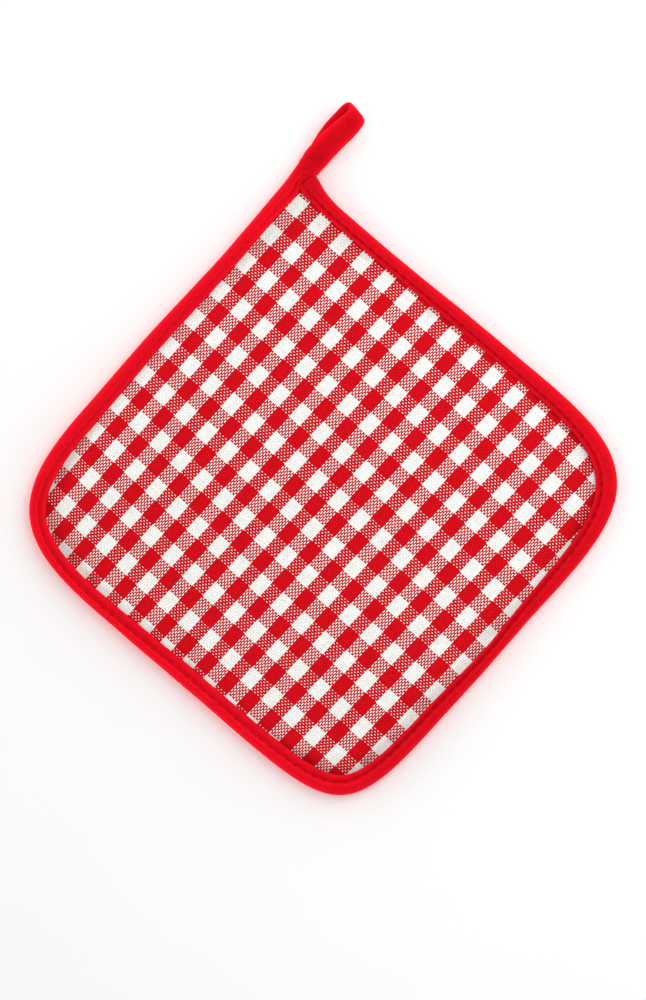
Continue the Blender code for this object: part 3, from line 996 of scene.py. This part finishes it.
def woven(recipe, u, v, warp_half, weft_half, taper=0.0):
    """1 where the warp is on top, 1 in the gaps, and how deep the thread on top lies."""
    across = (u * math.pi).math("SINE")
    along = (v * math.pi).math("SINE")
    warp_wave = across.math("SIGN") * along
    weft_wave = across * along.math("SIGN") * -1.0
    warp = ridge(u, warp_half)
    weft = ridge(v, weft_half) - (1 - abs(across)) * taper
    on_top = recipe.step(warp - weft + (warp_wave - weft_wave) * CRIMP, -0.25, 0.25)
    inside = weft + (warp - weft) * on_top
    edge = 1 - inside.math("MAXIMUM", 0.0)
    dive = 1 - (weft_wave + (warp_wave - weft_wave) * on_top)
    return on_top, recipe.step(inside, -1.2, 0.1, 1.0, 0.0), edge * edge * 0.5 + dive * 0.4


def stripe(coordinate, count):
    """1 on the red stripe's threads and 0 on the white one's."""
    thread = coordinate.math("FLOOR") + 0.5
    return thread.math("FLOORED_MODULO", 2.0 * count).math("GREATER_THAN", float(count))


def slubs(recipe, u, v, reach):
    """Thick and thin places in the yarn: streaks along both threads, around 0."""
    along_weft = recipe.noise(recipe.vector(u * reach, v * reach * 0.13), 1.0)
    along_warp = recipe.noise(recipe.vector(u * reach * 0.13, v * reach, 9.0), 1.0)
    return along_weft + along_warp - 1.0


def gingham():
    cloth = bpy.data.materials.new("checked cotton")
    r, shader = cloth_shader(cloth, 0.05, (1.0, 0.9, 0.9, 1.0))
    threads = r.add("ShaderNodeUVMap", {"uv_map": "threads"})
    u, v = split(r, threads)
    sway = r.noise(threads, 0.45, 1.0) - 0.5
    sag = r.noise(r.vector(v, u, 4.0), 0.45, 1.0) - 0.5
    u = u + sway * 0.30
    v = v + sag * 0.30
    warp_red = stripe(u, WARP_COUNT)
    weft_red = stripe(v, WEFT_COUNT)
    slub = slubs(r, u, v, 0.9)
    warp_half, weft_half = (
        is_red * (width["red"] - width["white"]) + width["white"] + slub * width["slub"]
        for is_red, width in zip((warp_red, weft_red), rows(WIDTH_COLUMNS, WIDTHS))
    )
    mixed = abs(weft_red - warp_red)
    taper = WEFT_TAPER - weft_red * mixed * WEFT_TAPER
    on_top, gap, deep = woven(r, u, v, warp_half, weft_half, taper)
    red = weft_red + (warp_red - weft_red) * on_top
    red = red + (warp_red.math("MAXIMUM", weft_red) - red) * gap
    colour = r.blend(red, WHITE, RED)
    # Painted shade: darker at the threads' edges and where they dive, and in the gaps of the mixed
    # checks.
    shade = mixed * gap * (0.05 + weft_red * 0.45)
    tone = 1.28 - deep * (0.42 + red * 0.31) - shade + slub * 0.26
    feed(r, shader, r.shade(colour, tone), slub * 0.2 + 0.86, 1 - deep, 0.20 * MM)
    return cloth


def plain_weave(name, tint, pitch, bias):
    """A single red cloth, its threads pitch millimetres apart. On the bias it is the tape."""
    cloth = bpy.data.materials.new(name)
    r, shader = cloth_shader(cloth, 0.35, SHEEN_RED)
    if bias:
        place = r.add("ShaderNodeUVMap", {"uv_map": "tape"})
        x, y = split(r, place)
    else:
        place = r.add("ShaderNodeTexCoord", output=3)
        x, y = (part * (1 / MM) for part in split(r, place))
    turn = math.cos(math.radians(45 * bias)) / pitch
    tilt = math.sin(math.radians(45 * bias)) / pitch
    u = x * turn + y * tilt
    v = y * turn - x * tilt
    deep = woven(r, u, v, PLAIN_WARP_HALF, PLAIN_WEFT_HALF)[2]
    slub = slubs(r, u, v, 0.5)
    worn = r.noise(r.add("ShaderNodeTexCoord", output=3), 45.0, 3.0) - 0.5
    # Painted shade: darker at the threads' edges and where they dive.
    tone = 1.13 - deep * 0.50 + slub * 0.26 + worn * 0.14
    if bias:
        aside = stored(r, "seam_aside")
        beat = abs((stored(r, "seam_run") * (math.pi * MM / STITCH)).math("COSINE"))
        # Painted shade in the needle holes along the seam's groove.
        hole = (aside * aside * -5.0).math("EXPONENT") * r.step(beat, *HOLE_NEAR)
        # Painted light and painted sheen: the tape's red turns paler where the pale number is high.
        tint = r.blend(stored(r, "pale"), tint, TAPE_PAINTED_LIGHT)
        tone = tone - hole * (stored(r, "seam_pull") + 0.3) * HOLE_PAINTED_SHADE
    feed(r, shader, r.shade(tint, tone), slub * 0.2 + 0.78, 1 - deep, 0.09 * MM)
    return cloth


def thread_finish(cloth):
    """Twisted sewing thread in the tape's red."""
    r, shader = cloth_shader(cloth, 0.3, SHEEN_RED)
    place = r.add("ShaderNodeTexCoord", output=3)
    x, y = split(r, place)
    twist = ((x + y) * (2 * math.pi / (0.5 * MM))).math("SINE")
    tone = 1.0 + twist * 0.10 + (r.noise(place, 300.0) - 0.5) * 0.3
    feed(r, shader, r.shade(THREAD_RED, tone), 0.6 + twist * 0.05, twist, 0.05 * MM)


thread_finish(thread_cloth)
finishes = {
    front_cloth: gingham(),
    back_cloth: plain_weave("plain red cotton", BACK, 0.55, 0),
    tape: plain_weave("bias tape", TAPE, 0.62, 1),
}
for piece, cloth in finishes.items():
    piece.data.materials.clear()
    piece.data.materials.append(cloth)
print("cloths:", ", ".join(cloth.name for cloth in finishes.values()))

# %% [markdown]
# Floor, light and camera
#
# The holder lies on its back on a pale floor and is seen from straight above, turned so that the
# loop's corner is at the top. A long lens keeps its sides parallel. The light is a soft sky that
# is brightest low down, as between large side lights, so the outer edge of the tape is bright and
# its groove dark. It is stronger from the left. A large lamp above the upper right adds to it.

# %% Floor
FLOOR_SIZE = 3.0
floor_mesh = bpy.data.meshes.new("floor")
half = FLOOR_SIZE / 2
floor_corners = [(-half, -half, 0), (half, -half, 0), (half, half, 0), (-half, half, 0)]
floor_mesh.from_pydata(floor_corners, [], [(0, 1, 2, 3)])
floor = in_scene("floor", floor_mesh)
paint = bpy.data.materials.new("pale floor")
paint.use_nodes = True
floor_recipe = Recipe(paint.node_tree)
speckle = floor_recipe.noise(floor_recipe.add("ShaderNodeTexCoord", output=3), 30.0)
pale = floor_recipe.blend(speckle, (0.97, 0.97, 0.97, 1.0), (0.985, 0.985, 0.985, 1.0))
floor_shader = paint.node_tree.nodes["Principled BSDF"]
floor_shader.inputs["Roughness"].default_value = 0.9
paint.node_tree.links.new(pale.socket, floor_shader.inputs["Base Color"])
floor_mesh.materials.append(paint)
print("floor:", FLOOR_SIZE, "m square")

# %% Light
ZENITH = 0.31
HORIZON = 5.2  # more light from low down, which brightens the tape's outer edge
HORIZON_POWER = 4.0
SIDE = 0.9  # and more from the picture's left
SIDE_WAY = (-0.75, -0.66, 0.0)
LAMP_SIZE = 0.6
LAMP_POWER = 2.2
LAMP_PLACE = (0.04, 0.38, 0.52)
sky = bpy.data.worlds.new("soft sky")
sky.use_nodes = True
sky_recipe = Recipe(sky.node_tree)
way = sky_recipe.add("ShaderNodeTexCoord")
rise = sky_recipe.add("ShaderNodeSeparateXYZ", None, [way], output=2)
low = 1 - abs(rise)
dot = {"operation": "DOT_PRODUCT"}
beside = sky_recipe.add("ShaderNodeVectorMath", dot, [way, SIDE_WAY], output=1).math("MAXIMUM", 0.0)
strength = low ** HORIZON_POWER * HORIZON + beside * beside * SIDE + ZENITH
background = sky.node_tree.nodes["Background"]
background.inputs["Color"].default_value = (1.0, 1.0, 1.0, 1.0)
sky.node_tree.links.new(strength.socket, background.inputs["Strength"])
bpy.context.scene.world = sky
bulb = bpy.data.lights.new("overhead", "AREA")
bulb.shape = "SQUARE"
bulb.size = LAMP_SIZE
bulb.energy = LAMP_POWER
lamp = in_scene("overhead", bulb)
lamp.location = LAMP_PLACE
lamp.rotation_euler = lamp.location.to_track_quat("Z", "Y").to_euler()
lamp.visible_camera = False
print("light: a sky and a lamp of", LAMP_POWER, "W")

# %% Camera
PICTURE_TURN = math.radians(41.2)  # the pad is turned this far to the left in the picture
PICTURE_TALL = 424.6 * MM  # what the picture spans from top to bottom, at the pad
PICTURE_MIDDLE = (1.1 * MM, -0.9 * MM)
PICTURE_HEIGHT = 5 * MM  # at the tape's roll
LENS = 160.0
SENSOR = 36.0
eye = bpy.data.cameras.new("camera")
eye.lens = LENS
eye.sensor_width = SENSOR
camera = in_scene("camera", eye)
camera.location = (*PICTURE_MIDDLE, PICTURE_TALL * LENS / SENSOR + PICTURE_HEIGHT)
camera.rotation_euler = (0.0, 0.0, PICTURE_TURN)
bpy.context.scene.camera = camera
bpy.context.scene.view_settings.view_transform = "Standard"
print("camera:", round(camera.location.z, 2), "m above the floor")

# %% [markdown]
# Handing the pieces to the frame
#
# Each piece is listed with the solids it stands for and a finish name. It rides on the frame's body,
# and those solids are hidden. The panels are padded; the tape is about 20 mm wide as it is folded,
# and as long as its seam.

# %% Ride and replace
finish_slots = (
    (front_cloth, ("front_panel",), "checked_cloth"),
    (back_cloth, ("back_panel",), "back_cloth"),
    (tape, ("binding", "hanging_loop"), "red_tape"),
)
for piece, solids, finish in finish_slots:
    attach(piece, BODY)
    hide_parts(*solids)
for seam in seams:
    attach(seam, BODY)
print("pieces:", len(finish_slots) + len(seams))

# %% End
print("done")
